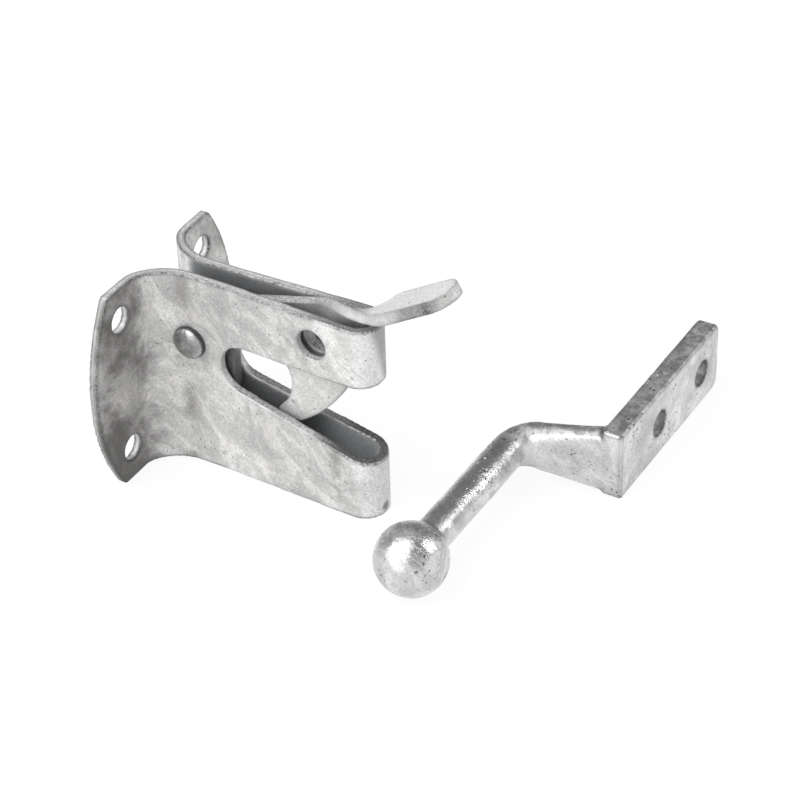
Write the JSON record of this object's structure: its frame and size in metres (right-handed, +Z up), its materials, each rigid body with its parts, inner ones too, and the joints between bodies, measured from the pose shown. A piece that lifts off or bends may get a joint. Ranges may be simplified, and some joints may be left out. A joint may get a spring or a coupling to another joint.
{
  "type": "lockable gate latch",
  "caption": "Galvanised gravity gate latch: folded steel housing with a hooked thumb lever and padlock hole, and a separate forged striker with a ball-ended rod on a flat bar.",
  "frame": {"origin": "centre of the housing's fixing holes on the post's face", "axes": "+X out from the post towards the housing's nose, +Y across the post, +Z up"},
  "size_m": [0.1419, 0.1477, 0.0914],
  "materials": {
    "galvanised_sheet": "matte hot-dip galvanised zinc",
    "galvanised_plate": "matte hot-dip galvanised zinc",
    "rivet_steel": "zinc-coated, worn",
    "galvanised_forging": "satin hot-dip galvanised zinc"
  },
  "bodies": {
    "latch_body": {"latch_housing": "galvanised_sheet", "pivot_rivet": "rivet_steel", "striker": "galvanised_forging"},
    "lever": {"latch_lever": "galvanised_plate"}
  },
  "joints": [
    {"name": "lever_pivot", "type": "hinge", "parent": "latch_body", "child": "lever", "pos_m": [0.0162, 0, 0.0107], "axis": [0, -1, 0], "range_deg": [0, 70]}
  ]
}
